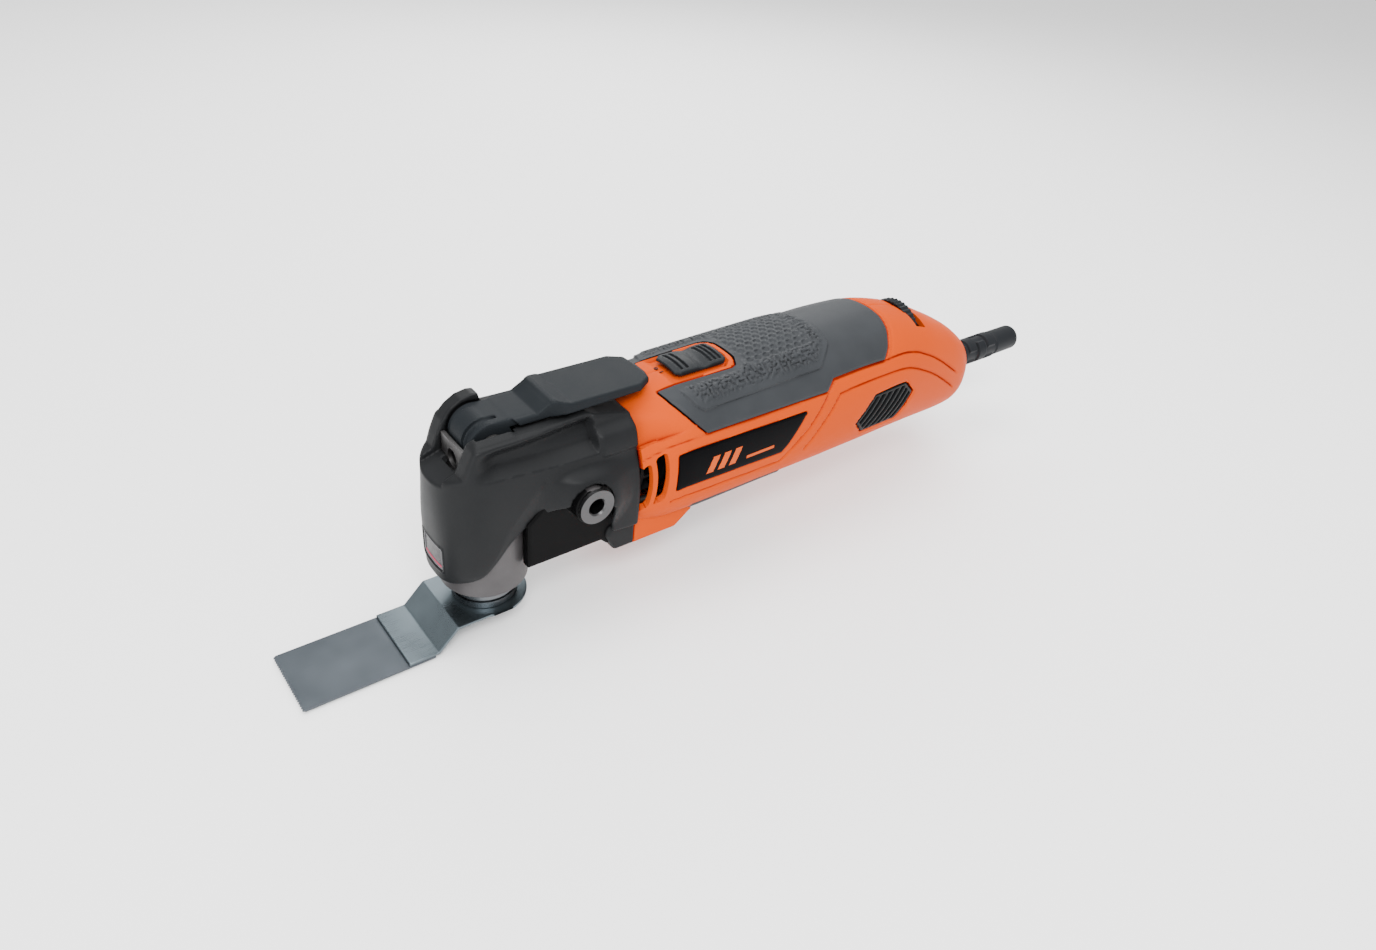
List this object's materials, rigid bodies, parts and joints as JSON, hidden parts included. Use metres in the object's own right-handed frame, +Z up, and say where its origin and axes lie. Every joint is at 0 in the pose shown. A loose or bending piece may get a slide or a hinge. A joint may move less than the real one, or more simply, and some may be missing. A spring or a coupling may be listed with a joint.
{
  "type": "oscillating multi tool",
  "caption": "Corded oscillating multi tool with a two-half housing, rubber grip, quick-release lever, slide switch, speed dial and an offset plunge saw blade.",
  "frame": {"origin": "on the output spindle's axis, in the plane where the blade meets the drive flange", "axes": "+X towards the mains lead, along the motor; +Z up, along the output spindle away from the blade; -Y is the tool's left side"},
  "size_m": [0.4045, 0.0648, 0.0975],
  "materials": {
    "orange_shell": "satin moulded nylon with a fine spark texture",
    "grip_rubber": "soft overmoulded elastomer, satin",
    "label_black": "printed plate, semi-gloss",
    "trim_black": "moulded, matt",
    "boot_rubber": "moulded, matt",
    "zinc_steel": "zinc plated",
    "cast_aluminium": "die cast, shot blasted",
    "gear_cover_black": "moulded, semi-gloss",
    "head_rubber": "soft-touch moulded cover, satin",
    "lens_clear": "moulded clear lens, frosted inside",
    "circuit_board": "solder mask",
    "polished_steel": "turned",
    "bracket_steel": "pressed sheet",
    "bearing_steel": "ground",
    "seal_rubber": "moulded",
    "lamination_steel": "stacked laminations",
    "copper_wire": "enamelled winding",
    "copper_bars": "turned copper",
    "brass_parts": "folded sheet",
    "carbon": "pressed graphite",
    "spring_steel": "drawn wire",
    "wire_insulation": "soft vinyl",
    "dark_steel": "hardened and blackened",
    "blade_steel": "ground, faintly blue",
    "saw_steel": "ground, faintly blue",
    "lever_plastic": "fine-grained moulding, satin",
    "button_plastic": "fine-grained moulding"
  },
  "bodies": {
    "housing": {"housing_left": "orange_shell", "housing_right": "orange_shell", "grip_saddle": "grip_rubber", "grip_belly": "grip_rubber", "label_left": "label_black", "label_right": "label_black", "vent_grille_left": "trim_black", "vent_grille_right": "trim_black", "strain_relief": "boot_rubber", "cord_clamp": "trim_black", "cord_clamp_screws": "zinc_steel", "housing_screws": "zinc_steel", "gear_housing": "cast_aluminium", "gear_cover": "gear_cover_black", "head_cover": "head_rubber", "led_lens": "lens_clear", "led_board": "circuit_board", "handle_insert_left": "polished_steel", "handle_insert_right": "polished_steel", "lever_pin": "polished_steel", "lever_bracket": "bracket_steel", "spindle_lower_bearing": "bearing_steel", "spindle_upper_bearing": "bearing_steel", "spindle_seal": "seal_rubber", "gearbox_screws": "zinc_steel", "stator_core": "lamination_steel", "field_coils": "copper_wire", "air_baffle": "trim_black", "brush_holder_left": "brass_parts", "brush_holder_right": "brass_parts", "carbon_brush_left": "carbon", "carbon_brush_right": "carbon", "brush_springs": "spring_steel", "motor_front_bearing": "bearing_steel", "motor_rear_bearing": "bearing_steel", "rear_bearing_sleeve": "seal_rubber", "switch_unit": "trim_black", "speed_board": "circuit_board", "wiring": "wire_insulation"},
    "spindle": {"output_spindle": "bearing_steel", "swing_fork": "dark_steel", "drive_flange": "dark_steel", "blade_carrier": "blade_steel", "saw_strip": "saw_steel"},
    "clamp": {"clamp_bolt": "dark_steel", "clamp_cap": "bearing_steel", "clamp_spring": "spring_steel"},
    "rotor": {"motor_shaft": "bearing_steel", "armature_core": "lamination_steel", "armature_winding": "copper_wire", "commutator": "copper_bars", "cooling_fan": "trim_black", "eccentric": "dark_steel", "eccentric_bearing": "bearing_steel"},
    "lever": {"lever": "lever_plastic"},
    "switch": {"switch_button": "button_plastic", "switch_rod": "trim_black"},
    "dial": {"speed_dial": "button_plastic"}
  },
  "joints": [
    {"name": "spindle_swing", "type": "hinge", "parent": "housing", "child": "spindle", "pos_m": [0, 0, 0], "axis": [0, 0, 1], "range_deg": [-1.6, 1.6]},
    {"name": "clamp_release", "type": "slide", "parent": "spindle", "child": "clamp", "axis": [0, 0, -1], "range_m": [0, 0.003], "deforming": ["clamp_spring"]},
    {"name": "motor_spin", "type": "hinge", "parent": "housing", "child": "rotor", "pos_m": [0.1, 0, 0.048], "axis": [1, 0, 0], "continuous": true},
    {"name": "lever_lift", "type": "hinge", "parent": "housing", "child": "lever", "pos_m": [0.0012, 0, 0.074], "axis": [0, -1, 0], "range_deg": [0, 105]},
    {"name": "switch_slide", "type": "slide", "parent": "housing", "child": "switch", "axis": [-1, 0, 0], "range_m": [0, 0.006]},
    {"name": "dial_turn", "type": "hinge", "parent": "housing", "child": "dial", "pos_m": [0.2205, 0, 0.0628], "axis": [1, 0, 0], "range_deg": [-135, 135]}
  ],
  "couplings": [
    {"joint": "clamp_release", "follows": "lever_lift", "m_per_rad": 0.001637}
  ]
}
